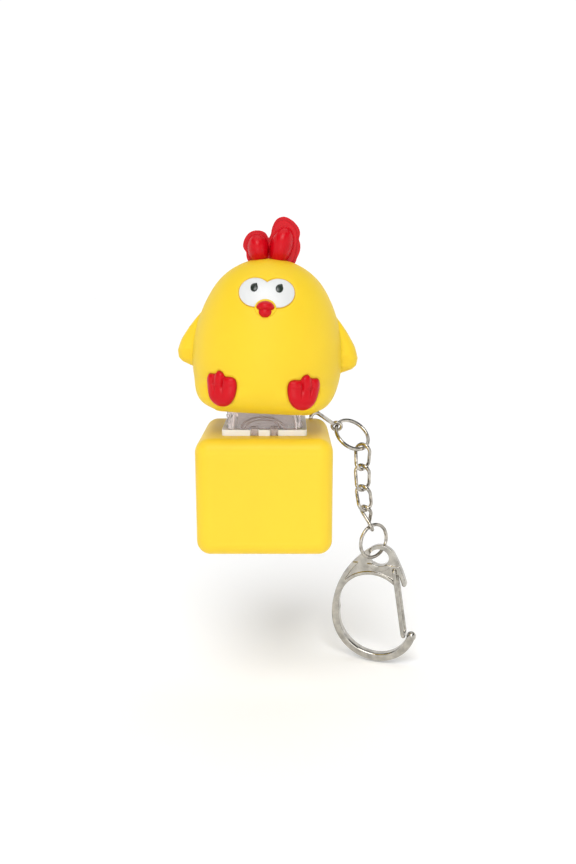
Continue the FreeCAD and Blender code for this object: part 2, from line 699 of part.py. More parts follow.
def hook_body():
    outer = hook_outer_edges(0.0)
    tail_tip = outer[-1].Vertexes[-1].Point
    tail_inner = tail_tip + Vector(-1.0, 0, -0.28)
    tip_round = Part.Arc(tail_tip, (tail_tip + tail_inner) * 0.5 + Vector(-0.1, 0, -0.5), tail_inner)
    slot = [Vector(4.45, 0, -3.75), Vector(3.75, 0, -3.95)]
    slot_edges = [Part.LineSegment(tail_inner, slot[0]).toShape(), Part.LineSegment(*slot).toShape()]
    inner_bottom = (BOTTOM_ARC[0], BOTTOM_ARC[1] - HOOK_ARM)
    meeting = circle_meeting(THROAT_ARC, inner_bottom)
    throat_stop = bearing(THROAT_ARC[0], meeting) % 360.0
    bottom_start = bearing(inner_bottom[0], meeting) % 360.0
    inner = [sweep_arc(THROAT_ARC[0], THROAT_ARC[1], THROAT_END, throat_stop),
             sweep_arc(inner_bottom[0], inner_bottom[1], bottom_start, 270.0),
             sweep_arc(TIP_ARC[0], TIP_ARC[1] - HOOK_ARM, -90.0, TIP_ANGLE)]
    solid = plate(joined(outer + [tip_round.toShape()] + slot_edges + inner), HOOK_THICKNESS)
    solid = round_rims(solid)
    for face in (-1.0, 1.0):
        side = block(-12.0, 12.0, 0.0, 3.0, -1.5, 5.0)
        side.translate(Vector(0, HOOK_HEAD_THICKNESS / 2.0, 0))
        if face < 0.0:
            side.rotate(Vector(0, 0, 0), UP, 180.0)
        solid = solid.cut(side)
    hole = Part.Ellipse(Vector(HOOK_HOLE[0], 0, 0), Vector(0, 0, HOOK_HOLE[1]), Vector(0, 0, 0))
    solid = solid.cut(plate(Part.Face(Part.Wire([hole.toShape()])), 6.0))
    pivot = Vector(GATE_PIVOT[0], -3.0, GATE_PIVOT[1])
    solid = solid.cut(Part.makeCylinder(GATE_WIRE, 6.0, pivot, BACK))
    solid = solid.cut(web_recess(1.0)).cut(web_recess(-1.0))
    tip_ball = Part.makeSphere(TIP_BALL, polar(TIP_ARC[0], TIP_ARC[1], TIP_ANGLE))
    return hang_hook(solid.fuse(tip_ball))


def round_rims(solid):
    """Softens the long curved edges of the plate on both faces."""
    half = HOOK_THICKNESS / 2.0
    edges = [e for e in solid.Edges
             if abs(abs(e.BoundBox.Center.y) - half) < 1e-3 and e.BoundBox.YLength < 1e-3 and e.Length > 2.0]
    return solid.makeFillet(RIM_ROUNDING, edges)


def web_recess(face):
    """The shallow sunk panel in each face of the hook between its rim and its throat."""
    sunk = joined(hook_outer_edges(1.0))
    panel = sunk.extrude(Vector(0, 1.0, 0))
    panel.translate(Vector(0, HOOK_THICKNESS / 2.0 - 0.35, 0))
    centre = THROAT_ARC[0] + Vector(0, -2.0, 0)
    panel = panel.cut(Part.makeCylinder(THROAT_ARC[1] + 0.8, 6.0, centre, BACK))
    panel = panel.cut(Part.makeCylinder(HOOK_HOLE[0] + 0.9, 6.0, Vector(0, -2, 0), BACK))
    panel = panel.cut(Part.makeCylinder(1.1, 6.0, Vector(GATE_PIVOT[0], -2, GATE_PIVOT[1]), BACK))
    panel = panel.common(block(-11.0, 6.0, -3.0, 3.0, -9.0, -1.5))
    if face < 0.0:
        panel = panel.mirror(Vector(0, 0, 0), BACK)
    return panel


def hang_hook(shape):
    placed = shape.copy()
    placed.Placement = Placement(HOOK_CENTRE, Rotation(UP, HOOK_YAW)).multiply(placed.Placement)
    return placed


def gate_wire():
    pivot = Vector(GATE_PIVOT[0], 0, GATE_PIVOT[1])
    end = Vector(GATE_END[0], 0, GATE_END[1])
    spread = BACK * GATE_SPREAD
    tuck = BACK * 0.3
    points = [pivot - tuck, pivot - spread, end - spread, end + spread, pivot + spread, pivot + tuck]
    half_one = bent_tube(points[:3] + [end], [0.5, 1.0], GATE_WIRE)
    half_two = bent_tube([end] + points[3:], [1.0, 0.5], GATE_WIRE)
    return hang_hook(half_one.fuse(half_two).removeSplitter())


# ---- every piece --------------------------------------------------------------------
def main():
    os.makedirs("parts", exist_ok=True)
    save("case_body", case_body())
    save("bottom_cover", bottom_cover())
    save("cover_screws", cover_screws())
    save("circuit_board", circuit_board())
    save("chip_blob", chip_blob())
    save("led", led())
    save("speaker_disc", speaker_disc())
    save("foam_pad", foam_pad())
    save("button_cells", button_cells())
    save("cell_holder", cell_holder())
    save("battery_contacts", battery_contacts())
    save("lead_wires", lead_wires())
    save("lower_housing", lower_housing())
    save("upper_housing", upper_housing())
    save("switch_stem", switch_stem())
    save("return_spring", return_spring())
    save("contact_terminals", contact_terminals())
    save("contact_leaf", contact_leaf())
    insert = keycap_insert()
    save("keycap_insert", insert)
    pieces = {name: seat(shape) for name, shape in chick_pieces().items()}
    save("chick_body", pieces.pop("body").cut(chick_hollow()))
    for name, shape in pieces.items():
        save(name, shape)
    save("eye_pin", eye_pin())
    save("hanging_ring", hanging_ring())
    bottom_twists = [LINK_TWIST, LINK_TWIST, LINK_TWIST, LAST_LINK_TWIST]
    for index, twist in enumerate(bottom_twists):
        top, bottom = link_frames()[index]
        save("chain_link_" + str(index + 1), curb_link(top, bottom, -LINK_TWIST, twist))
    save("jump_ring", jump_ring())
    save("hook_body", hook_body())
    save("gate_wire", gate_wire())


main()
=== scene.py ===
"""Looks for the key switch keychain: a soft chick keycap, its clear switch and cube case, and the
chromed chain and hook. Shapes are worked out in millimetres and placed in the frame in metres."""
import json
import math

import bpy
import numpy as np
from mathutils import Matrix, Vector
from mathutils.bvhtree import BVHTree


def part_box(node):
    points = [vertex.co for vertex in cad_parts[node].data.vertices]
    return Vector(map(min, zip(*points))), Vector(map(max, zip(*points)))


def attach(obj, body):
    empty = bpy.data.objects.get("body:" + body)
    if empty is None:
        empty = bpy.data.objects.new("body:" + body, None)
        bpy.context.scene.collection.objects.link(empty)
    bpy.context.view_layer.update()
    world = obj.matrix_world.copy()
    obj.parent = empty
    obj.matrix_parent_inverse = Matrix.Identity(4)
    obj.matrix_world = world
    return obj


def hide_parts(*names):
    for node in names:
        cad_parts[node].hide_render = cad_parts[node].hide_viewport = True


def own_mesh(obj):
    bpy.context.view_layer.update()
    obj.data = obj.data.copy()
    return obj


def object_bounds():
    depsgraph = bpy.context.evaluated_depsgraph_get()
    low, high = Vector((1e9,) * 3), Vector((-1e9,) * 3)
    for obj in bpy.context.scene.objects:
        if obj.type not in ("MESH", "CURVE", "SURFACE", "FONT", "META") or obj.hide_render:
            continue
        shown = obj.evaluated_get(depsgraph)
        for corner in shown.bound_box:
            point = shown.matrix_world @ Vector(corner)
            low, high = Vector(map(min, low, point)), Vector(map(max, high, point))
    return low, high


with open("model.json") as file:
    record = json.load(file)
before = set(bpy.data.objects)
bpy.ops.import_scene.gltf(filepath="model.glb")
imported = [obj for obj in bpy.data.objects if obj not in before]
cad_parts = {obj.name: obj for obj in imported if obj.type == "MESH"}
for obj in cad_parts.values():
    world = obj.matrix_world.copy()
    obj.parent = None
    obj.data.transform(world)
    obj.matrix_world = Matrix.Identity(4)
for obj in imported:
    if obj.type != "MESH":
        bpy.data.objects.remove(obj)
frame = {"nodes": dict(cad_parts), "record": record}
cad_low, cad_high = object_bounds()

MM = 0.001

# ---- the chick's own frame, as in the CAD: its axis leans and turns about its seat --------
CHICK_SEAT = Vector((0.05, 0.0, 26.15))
CHICK_LEAN = 2.5
CHICK_YAW = -2.0
SEATING = (Matrix.Translation(CHICK_SEAT) @ Matrix.Rotation(math.radians(CHICK_LEAN), 4, "Y")
           @ Matrix.Rotation(math.radians(CHICK_YAW), 4, "Z"))
EGG_OUTLINE = ((9.30, 0.0), (10.05, 0.35), (11.9, 1.6), (13.25, 3.7), (14.0, 7.2), (13.95, 11.8),
               (12.75, 17.0), (10.75, 21.4), (8.95, 23.85), (6.6, 25.75), (3.6, 27.1), (0.0, 27.6))
BASE_SQUARENESS = 4.6
SQUARE_FADE = 5.5
CORNER_EASING = 0.5
CORNER_SPREAD = 0.5
CAVITY_HALF = 8.5
CAVITY_CORNER = 2.0
HEM_BAND = 2.5
HEM_WALL = 0.35
LIP_WIDTH = 0.12
LIP_RISE = 0.15
SEAT_HALF = 7.32
SEAT_CORNER = 1.5
SEAT_DEPTH = 1.6
CROWN = (0.02, 27.6)
PUPIL_PLACE = (2.17, 22.2)
PUPIL_RADIUS = 0.68
FOOT_PLACE = (7.3, 4.3)


def turn_steps(count):
    """Evenly spaced angles all round."""
    return np.linspace(0, 2 * math.pi, count, endpoint=False)


def chord_knots(pts):
    return np.concatenate([[0.0], np.cumsum(np.linalg.norm(np.diff(pts, axis=0), axis=1) ** 0.5)])


def spline_point(pts, knots, i, t):
    """The point at t on the span that starts at the i-th point."""
    p, k = pts[i - 1:i + 3], knots[i - 1:i + 3]
    a = [p[j] * (k[j + 1] - t) / (k[j + 1] - k[j]) + p[j + 1] * (t - k[j]) / (k[j + 1] - k[j])
         for j in range(3)]
    b = [a[j] * (k[j + 2] - t) / (k[j + 2] - k[j]) + a[j + 1] * (t - k[j]) / (k[j + 2] - k[j])
         for j in range(2)]
    return b[0] * (k[2] - t) / (k[2] - k[1]) + b[1] * (t - k[1]) / (k[2] - k[1])


def spline(points, samples):
    """A smooth curve through the points (Catmull-Rom, spaced by chord), as an array of samples."""
    pts = np.array(points, float)
    pts = np.vstack([2 * pts[0] - pts[1], pts, 2 * pts[-1] - pts[-2]])
    knots = chord_knots(pts)
    out = []
    for t in np.linspace(knots[1], knots[-2], samples):
        i = min(max(np.searchsorted(knots, t) - 1, 1), len(pts) - 3)
        out.append(spline_point(pts, knots, i, t))
    return np.array(out)


def closed_spline(points, samples):
    """The same curve, closed on itself."""
    pts = np.array(points, float)
    wrapped = np.vstack([pts[-2:], pts, pts[:3]])
    knots = chord_knots(wrapped)
    start, stop = knots[2], knots[2 + len(pts)]
    out = []
    for t in np.linspace(start, stop, samples, endpoint=False):
        i = min(max(np.searchsorted(knots, t, side="right") - 1, 1), len(wrapped) - 3)
        out.append(spline_point(wrapped, knots, i, t))
    return np.array(out)


EGG_CURVE = spline(EGG_OUTLINE, 400)


def egg_radius(z):
    return np.interp(z, EGG_CURVE[:, 1], EGG_CURVE[:, 0])


def smoothstep(value, low, high):
    t = np.clip((value - low) / (high - low), 0.0, 1.0)
    return t * t * (3.0 - 2.0 * t)


def squareness(z):
    """The exponent of the chick's cross-section: nearly square at its hem, round above."""
    return 2.0 + (BASE_SQUARENESS - 2.0) * (1.0 - smoothstep(z, 0.0, SQUARE_FADE))


def around(theta, z):
    """How much further out the cross-section runs at an angle than on its flat side.

    The back right corner is rounder than the rest, because it comes down beside the wire eye."""
    off_corner = 1.0 - CORNER_EASING * np.exp(-((theta - math.pi / 4) / CORNER_SPREAD) ** 2)
    n = 2.0 + (squareness(z) - 2.0) * off_corner
    return (np.abs(np.cos(theta)) ** n + np.abs(np.sin(theta)) ** n) ** (-1.0 / n)


def egg_front(x, z):
    """The depth (-Y) of the chick's front skin behind a point in front view."""
    radius = egg_radius(z)
    n = squareness(z)
    inside = np.clip(radius ** n - np.abs(x) ** n, 1e-6, None)
    return -inside ** (1.0 / n)


def front_normal(x, z, step=0.05):
    """The outward direction of the front skin."""
    dx = (egg_front(x + step, z) - egg_front(x - step, z)) / (2 * step)
    dz = (egg_front(x, z + step) - egg_front(x, z - step)) / (2 * step)
    normal = np.stack([dx, -np.ones_like(dx), dz], axis=-1)
    return normal / np.linalg.norm(normal, axis=-1, keepdims=True)


# ---- outlines of what is set into the chick's front --------------------------------------
EYE_OVAL = (2.0, 21.5, 2.93, 2.48)
FOOT_EDGE = ((7.9, 7.65), (8.45, 7.05), (9.0, 6.95), (9.6, 6.9), (9.95, 6.3), (9.95, 5.3), (9.75, 4.1),
             (9.15, 2.6), (7.95, 1.6), (6.8, 1.43), (5.85, 1.78), (4.98, 2.9), (4.58, 4.4), (4.55, 5.7),
             (4.85, 6.45), (5.45, 6.75), (6.1, 6.75), (6.65, 6.75), (7.15, 7.4))
TOE_GROOVES = ((6.75, 0.0, 0.17), (8.48, 0.12, 0.17))
GROOVE_HEIGHT = 6.7
TOE_RIDGES = ((5.75, 6.0), (7.75, 6.3), (9.2, 5.9))


def eye_patch_reach(phi):
    """Distance from the patch's middle to its edge, at each angle: two ovals joined."""
    cx, _, wide, high = EYE_OVAL
    reach = np.zeros_like(phi)
    for side in (-1.0, 1.0):
        c, s = np.cos(phi), np.sin(phi)
        a = (c / wide) ** 2 + (s / high) ** 2
        b = -2.0 * c * side * cx / wide ** 2
        d = (cx / wide) ** 2 - 1.0
        root = (-b + np.sqrt(np.maximum(b * b - 4 * a * d, 0.0))) / (2 * a)
        reach = np.maximum(reach, root)
    return reach


def outline_reach(outline, centre, phi):
    """Distance from a middle to a closed curve through the outline's points, at each angle."""
    curve = closed_spline(outline, 900) - np.array(centre)
    angle = np.arctan2(curve[:, 1], curve[:, 0]) % (2 * math.pi)
    order = np.argsort(angle)
    return np.interp(phi, angle[order], np.hypot(curve[:, 0], curve[:, 1])[order], period=2 * math.pi)


def foot_reach(phi):
    return outline_reach(FOOT_EDGE, FOOT_PLACE, phi)


def mirrored(reach):
    """The same outline flipped left to right."""
    count = len(reach)
    return reach[(count // 2 - np.arange(count)) % count]


def side_name(side):
    return "left" if side > 0 else "right"


def ease(reach, turns):
    """Rounds the corners of a reach function sampled all round."""
    kernel = np.array([1.0, 2.0, 3.0, 2.0, 1.0])
    kernel /= kernel.sum()
    for _ in range(turns):
        wrapped = np.concatenate([reach[-2:], reach, reach[:2]])
        reach = np.convolve(wrapped, kernel, "valid")
    return reach


# ---- mesh helpers --------------------------------------------------------------------------
def new_piece(name, verts, faces, seat=None):
    """A smooth-shaded mesh object from millimetre points, moved to its seat if it has one."""
    mesh = bpy.data.meshes.new(name)
    mesh.from_pydata([tuple(v) for v in verts], [], [tuple(f) for f in faces])
    if seat is not None:
        mesh.transform(seat)
    mesh.transform(Matrix.Scale(MM, 4))
    mesh.validate()
    mesh.update()
    piece = bpy.data.objects.new(name, mesh)
    bpy.context.scene.collection.objects.link(piece)
    for polygon in mesh.polygons:
        polygon.use_smooth = True
    return piece


def tube_faces(rows, cols, first=0):
    """The faces of a tube of rings of points, with both of its ends filled."""
    faces = []
    for i in range(rows - 1):
        for j in range(cols):
            k = (j + 1) % cols
            faces.append((i * cols + j, i * cols + k, (i + 1) * cols + k, (i + 1) * cols + j))
    faces.append(tuple(range(cols - 1, -1, -1)))
    last = (rows - 1) * cols
    faces.append(tuple(range(last, last + cols)))
    return [tuple(first + i for i in face) for face in faces]


def reskinned(piece, voxel, rounds):
    """Gives a piece, in millimetres, one even skin and softens it."""
    remesh = piece.modifiers.new("join", "REMESH")
    remesh.mode = "VOXEL"
    remesh.voxel_size = voxel
    soften = piece.modifiers.new("soften", "SMOOTH")
    soften.iterations = rounds
    soften.factor = 0.5
    graph = bpy.context.evaluated_depsgraph_get()
    mesh = bpy.data.meshes.new_from_object(piece.evaluated_get(graph))
    old = piece.data
    piece.modifiers.clear()
    piece.data = mesh
    bpy.data.meshes.remove(old)
    for polygon in mesh.polygons:
        polygon.use_smooth = True


def rounded_square(half, corner, theta):
    """Points of a rounded square seen at the given angles."""
    reach = np.zeros_like(theta)
    for i, t in enumerate(theta):
        c, s = abs(math.cos(t)), abs(math.sin(t))
        straight = half / max(c, s)
        core = half - corner
        along = core * c + core * s
        aside2 = 2 * core * core - along * along
        if min(c, s) * straight > core:
            reach[i] = along + math.sqrt(max(corner ** 2 - aside2, 0.0))
        else:
            reach[i] = straight
    return np.stack([reach * np.cos(theta), reach * np.sin(theta)], axis=-1)


# ---- chick body ------------------------------------------------------------------------------
WING_RISE = ((7.05, 0.0), (7.35, 1.0), (7.85, 2.1), (8.6, 2.75), (9.9, 2.95), (12.0, 2.45),
             (14.4, 1.45), (16.3, 0.55), (17.4, 0.0))
WING_WIDTH = ((7.05, 1.4), (8.3, 2.5), (10.5, 3.0), (14.4, 2.2), (17.4, 0.9))
WING_MIDDLE = 0.3
FLANK_RADIUS = 14.0
EYE_MOAT = (0.24, 0.2)
FOOT_MOAT = (0.22, 0.24)


def wing_swell(theta, z):
    """How far the two wings stand out of the body's flanks."""
    rise = np.interp(z, *zip(*WING_RISE))
    width = np.interp(z, *zip(*WING_WIDTH))
    off = np.abs(FLANK_RADIUS * np.sin(theta) - WING_MIDDLE) / width
    bulge = np.clip(1.0 - off ** 2.6, 0.0, 1.0) ** 0.62
    return rise * bulge


def moat(x, z, reach, centre, depth, width):
    """A shallow groove in the skin just outside an inset piece."""
    dx, dz = x - centre[0], z - centre[1]
    distance = np.hypot(dx, dz)
    phi = np.arctan2(dz, dx) % (2 * math.pi)
    edge = np.interp(phi, np.linspace(0, 2 * math.pi, len(reach) + 1), np.append(reach, reach[0]))
    inside = distance - edge
    return depth * np.exp(-(inside / width) ** 2)


def outer_rings(theta):
    """The chick's outside from its hem to its crown, with wings, and moats round what is inset."""
    curve = spline(EGG_OUTLINE, 240)
    spacing = np.concatenate([curve[:-1], [CROWN]])
    phi = turn_steps(720)
    eye_edge = ease(eye_patch_reach(phi), 6)
    foot_edge = ease(foot_reach(phi), 3)
    hem = rounded_square(CAVITY_HALF + HEM_WALL, CAVITY_CORNER, theta)
    hem_reach = np.hypot(hem[:, 0], hem[:, 1])
    rings = []
    for radius, z in spacing:
        reach = radius * around(theta, z)
        if z < HEM_BAND:
            reach = np.maximum(reach, hem_reach)
        x, y = reach * np.cos(theta), reach * np.sin(theta)
        dent = moat(x, z, eye_edge, (0.0, EYE_OVAL[1]), *EYE_MOAT)
        for side, edge in ((-1.0, mirrored(foot_edge)), (1.0, foot_edge)):
            dent += moat(x, z, edge, (side * FOOT_PLACE[0], FOOT_PLACE[1]), *FOOT_MOAT)
        outward = 1.0 + (wing_swell(theta, z) - dent * (y < 0)) / np.maximum(reach, 1.0)
        rings.append(np.stack([x * outward, y * outward, np.full_like(theta, z)], axis=-1))
    return rings


def cavity_rings(theta):
    """The hollow under the chick, from its lip up to the seat of the keycap insert."""
    hem_z = CHICK_SEAT.z
    seat_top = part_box("keycap_insert")[1].z / MM
    seat_bottom = seat_top - SEAT_DEPTH
    lean = np.sin(math.radians(CHICK_LEAN))

    def level(ring, z):
        return np.column_stack([ring, np.full(len(theta), z)])
    lip = rounded_square(CAVITY_HALF + LIP_WIDTH, CAVITY_CORNER, theta)
    wall = rounded_square(CAVITY_HALF, CAVITY_CORNER, theta)
    seat_wall = rounded_square(SEAT_HALF, SEAT_CORNER, theta)
    rings = [np.column_stack([lip, hem_z - lean * lip[:, 0]]),
             np.column_stack([wall, hem_z + LIP_RISE - lean * wall[:, 0]])]
    rings += [level(wall, z) for z in (hem_z + 1.0, seat_bottom - 0.1, seat_bottom)]
    rings += [level(seat_wall, z) for z in (seat_bottom, seat_top + 0.05)]
    rings.append(level(seat_wall * 0.02, seat_top + 0.05))
    return rings


def body_mesh():
    theta = turn_steps(512)
    outer, inner = outer_rings(theta), cavity_rings(theta)
    leaned = np.array([SEATING @ Vector(p) for p in np.concatenate(outer)])
    shell = np.concatenate([np.concatenate(inner[::-1]), leaned])
    return new_piece("chick_skin", shell, tube_faces(len(inner) + len(outer), len(theta)))


# ---- pieces set into the skin -------------------------------------------------------------------
PINHOLE = 0.004
RIM_STEPS = 360
EYE_INSET = 0.09
# The margins and sink below size the darker rings of painted shade round the eye patch and the feet.
EYE_SHADE_MARGIN = 0.05
FOOT_INSET = 0.03
FOOT_SHADE_MARGIN = 0.07
SHADE_RING_SINK = 0.03


def inset_cap(name, centre, reach, height, rings=26, sink=0.5):
    """A cap over the front skin: domed by height(s) from its middle (0) to its edge (1)."""
    cols = len(reach)
    phi = turn_steps(cols)
    verts = []
    steps = np.sin(np.linspace(0.0, math.pi / 2, rings)) ** 0.85
    steps[0] = PINHOLE
    for s in steps:
        x = centre[0] + reach * s * np.cos(phi)
        z = centre[1] + reach * s * np.sin(phi)
        skin = np.stack([x, egg_front(x, z), z], axis=-1)
        verts.append(skin + front_normal(x, z) * height(s, x, z)[:, None])
    x = centre[0] + reach * np.cos(phi)
    z = centre[1] + reach * np.sin(phi)
    for depth, pull in ((sink * 0.6, 1.0), (sink, 0.97)):
        xi, zi = centre[0] + (x - centre[0]) * pull, centre[1] + (z - centre[1]) * pull
        skin = np.stack([xi, egg_front(xi, zi), zi], axis=-1)
        verts.append(skin - front_normal(xi, zi) * depth)
    back = egg_front(np.array([centre[0]]), np.array([centre[1]]))[0] + sink
    verts.append(np.stack([centre[0] + (x - centre[0]) * PINHOLE, np.full(cols, back),
                           centre[1] + (z - centre[1]) * PINHOLE], axis=-1))
    flipped = [tuple(reversed(face)) for face in tube_faces(len(verts), cols)]
    return new_piece(name, np.concatenate(verts), flipped, SEATING)


def dome(s, top, power):
    """The height of a rounded top, full in the middle (0) and nothing at the edge (1)."""
    return top * (1.0 - s ** power) ** 0.5


def eye_patch():
    reach = ease(eye_patch_reach(turn_steps(RIM_STEPS)), 3) - EYE_INSET

    def height(s, x, z):
        return np.full_like(x, 0.02 + dome(s, 0.16, 10.0))
    return inset_cap("white_eye_patch", (0.0, EYE_OVAL[1]), reach, height, sink=0.45)


def painted_shade_ring(name, centre, reach):
    """A thin ring, darker than the skin, that paints the shade where a coloured piece is set into the
    yellow skin.
    """
    def height(s, x, z):
        return np.full_like(x, -SHADE_RING_SINK)
    return inset_cap(name, centre, reach, height, rings=20, sink=0.35)


# Painted shade round the eye patch.
def eye_shade_ring():
    reach = ease(eye_patch_reach(turn_steps(RIM_STEPS)), 3) + EYE_SHADE_MARGIN
    return painted_shade_ring("eye_shade_ring", (0.0, EYE_OVAL[1]), reach)


def foot_outline(side, margin):
    """A foot's middle and its outline, grown by a margin."""
    reach = foot_reach(turn_steps(RIM_STEPS)) + margin
    return (side * FOOT_PLACE[0], FOOT_PLACE[1]), reach if side > 0 else mirrored(reach)


# Painted shade round each foot, in darker red.
def foot_shade_ring(side):
    return painted_shade_ring("foot_shade_ring_" + side_name(side), *foot_outline(side, FOOT_SHADE_MARGIN))


def pupil(side):
    """A dark oval with a small peak at its upper right."""
    phi = turn_steps(96)
    peak = 0.16 * np.exp(-((phi - 1.1) / 0.3) ** 2)
    reach = PUPIL_RADIUS * (1.0 + 0.05 * np.cos(2 * (phi - 1.57))) + peak

    def height(s, x, z):
        return np.full_like(x, 0.17 + dome(s, 0.16, 2.4))
    return inset_cap("pupil_" + side_name(side), (side * PUPIL_PLACE[0], PUPIL_PLACE[1]), reach, height,
                     rings=14, sink=0.05)


def foot(side):
    """A domed foot with grooves and ridges that part its three toes."""
    centre, reach = foot_outline(side, -FOOT_INSET)

    def height(s, x, z):
        lx = x * side
        upper = smoothstep(z, 3.0, 5.4)
        grooves = np.zeros_like(x)
        for gap_x, slope, width in TOE_GROOVES:
            line = gap_x + slope * (z - GROOVE_HEIGHT)
            grooves += np.exp(-((lx - line) / width) ** 2)
        ridge = sum(np.exp(-((lx - tx) / 0.5) ** 2 - ((z - tz) / 1.3) ** 2) for tx, tz in TOE_RIDGES)
        return dome(s, 0.86, 3.0) * (1.0 - 0.55 * grooves * upper) + 0.16 * ridge * (1.0 - s ** 6)
    return inset_cap("foot_" + side_name(side), centre, reach, height, rings=34, sink=0.5)


# ---- blended solids: beak and comb ---------------------------------------------------------------
BLOB_ROWS = 28
SKIN_VOXEL = 0.05
BEAK_HEIGHT = 19.0
UPPER_LIP = ((0.15, 19.3), (1.62, 1.62, 0.86))
LOWER_LIP = ((0.1, 18.2), (1.28, 1.45, 1.0))
LIP_DROOP = 0.22
SURROUND_MIDDLE = (0.0, 18.9)
SURROUND_SIZE = (1.86, 1.5)
RIM_LAYERS = 7
RIM_ROUNDING = 0.36


def blob(verts, faces, centre, size, turn=0.0, bend=None):
    """Adds an ellipsoid to a list of parts; turn is about the depth axis, in degrees."""
    start = len(verts)
    rot = Matrix.Rotation(math.radians(turn), 3, "Y")
    rows, cols = BLOB_ROWS, BLOB_ROWS * 2
    for i in range(rows + 1):
        lat = math.pi * i / rows
        for j in range(cols):
            lon = 2 * math.pi * j / cols
            p = Vector((size[0] * math.sin(lat) * math.cos(lon), size[1] * math.sin(lat) * math.sin(lon),
                        size[2] * math.cos(lat)))
            if bend:
                p = bend(p)
            verts.append(rot @ p + Vector(centre))
    for i in range(rows):
        for j in range(cols):
            k = (j + 1) % cols
            a, b = start + i * cols, start + (i + 1) * cols
            faces.append((a + j, b + j, b + k, a + k))


def blended(name, verts, faces, voxel, rounds):
    """Joins overlapping parts into one skin and seats it on the chick."""
    mesh = bpy.data.meshes.new(name)
    mesh.from_pydata([tuple(v) for v in verts], [], faces)
    mesh.validate()
    piece = bpy.data.objects.new(name, mesh)
    bpy.context.scene.collection.objects.link(piece)
    reskinned(piece, voxel, rounds)
    piece.data.transform(Matrix.Scale(MM, 4) @ SEATING)
    return piece


def beak():
    verts, faces = [], []
    skin = float(egg_front(np.array([0.0]), np.array([BEAK_HEIGHT]))[0])

    def drooping(p):
        droop = LIP_DROOP * (p.x / 1.5) ** 2
        return Vector((p.x, p.y, p.z - droop if p.z < 0.4 else p.z - droop * 0.8))
    for ((sunk, z), size), bend in ((UPPER_LIP, drooping), (LOWER_LIP, None)):
        blob(verts, faces, (0.0, skin + sunk, z), size, bend=bend)
    return blended("beak_lips", verts, faces, SKIN_VOXEL, 6)


def beak_surround():
    """The low arch of the yellow skin that frames the beak between the eyes."""
    phi = turn_steps(180)
    reach = 1.0 / np.sqrt((np.cos(phi) / SURROUND_SIZE[0]) ** 2 + (np.sin(phi) / SURROUND_SIZE[1]) ** 2)

    def height(s, x, z):
        return np.full_like(x, 0.1 + dome(s, 0.26, 4.0))
    return inset_cap("beak_surround", SURROUND_MIDDLE, reach, height, rings=14, sink=0.4)


def slab(verts, faces, outline, y0, y1):
    """A flat lobe with a rounded rim: its outline, seen from the front, swept back."""
    pts = np.array(outline)
    along = np.roll(pts, -1, axis=0) - np.roll(pts, 1, axis=0)
    normal = np.stack([along[:, 1], -along[:, 0]], axis=-1)
    normal /= np.linalg.norm(normal, axis=1, keepdims=True)
    rows = []
    for end, sign in ((y0, -1.0), (y1, 1.0)):
        angles = (np.linspace(math.pi / 2, 0.0, RIM_LAYERS) if sign < 0
                  else np.linspace(0.0, math.pi / 2, RIM_LAYERS))
        for a in angles:
            inset = RIM_ROUNDING * (1.0 - math.cos(a))
            rows.append((inset, end - sign * RIM_ROUNDING * (1.0 - math.sin(a))))
    faces += tube_faces(len(rows), len(pts), len(verts))
    for inset, y in rows:
        verts += [Vector((p[0], y, p[1])) for p in pts - normal * inset]


COMB_FLANGE = ((-4.1, 27.3), (-4.3, 28.3), (-5.05, 29.5), (-4.75, 30.9), (-3.9, 31.9), (-2.7, 32.25),
               (-1.45, 31.95), (-0.6, 30.95), (-0.1, 31.6), (0.2, 33.1), (0.9, 34.4), (2.0, 34.85),
               (3.3, 34.4), (4.5, 33.3), (4.9, 32.3), (4.75, 31.2), (5.05, 30.2), (5.0, 29.1),
               (4.55, 27.9), (4.1, 26.9), (0.0, 26.4))
COMB_STEP = ((-3.9, 26.9), (-4.35, 29.2), (-3.9, 31.0), (-2.7, 31.75), (-1.3, 31.2), (-0.6, 29.8),
             (0.25, 32.0), (0.9, 33.6), (2.1, 34.15), (3.6, 33.3), (4.3, 32.0), (4.35, 30.4),
             (4.0, 28.0), (3.4, 26.8), (0.0, 26.3))
COMB_LOBES = (((-2.42, -0.85, 29.15), (1.98, 2.75, 2.6), -7.0),
              ((1.85, -0.85, 29.85), (2.08, 2.8, 3.4), 15.0),
              ((-2.6, 1.1, 29.3), (1.85, 1.35, 2.45), -6.0),
              ((2.1, 1.1, 30.4), (2.05, 1.4, 3.3), 12.0))
COMB_VOXEL = 0.055


def comb():
    """Two stepped flanges with a fat lobe in front of, and behind, each half."""
    verts, faces = [], []
    slab(verts, faces, closed_spline(COMB_FLANGE, 240), -0.35, 1.3)
    slab(verts, faces, closed_spline(COMB_STEP, 240), -0.95, 1.8)
    for centre, size, turn in COMB_LOBES:
        blob(verts, faces, centre, size, turn)
    return blended("comb_crest", verts, faces, COMB_VOXEL, 9)


# ---- hook --------------------------------------------------------------------------------------------
HOOK_VOXEL = 0.07


def softened_copy(node, name, voxel, rounds):
    """The same cast piece with its hard CAD edges worn round, as a plated die casting has them."""
    source = frame["nodes"][node]
    mesh = source.data.copy()
    mesh.transform(source.matrix_world)
    mesh.transform(Matrix.Scale(1.0 / MM, 4))
    piece = bpy.data.objects.new(name, mesh)
    bpy.context.scene.collection.objects.link(piece)
    reskinned(piece, voxel, rounds)
    piece.data.transform(Matrix.Scale(MM, 4))
    piece.data.materials.clear()
    return piece


# ---- switch ----------------------------------------------------------------------------------------
ARCH_MIDDLE = (-0.3, 23.15)
ARCH_SIZES = ((3.9, 1.95), (3.15, 1.45))
ARCH_RIB = 0.13
IN_FRONT = -20.0


def squeezed_spring():
    """The return spring, copied as it stands in the CAD."""
    source = frame["nodes"]["return_spring"]
    spring = bpy.data.objects.new("coil_spring", source.data.copy())
    bpy.context.scene.collection.objects.link(spring)
    spring.matrix_world = source.matrix_world
    spring.data.materials.clear()
    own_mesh(spring)
    return spring


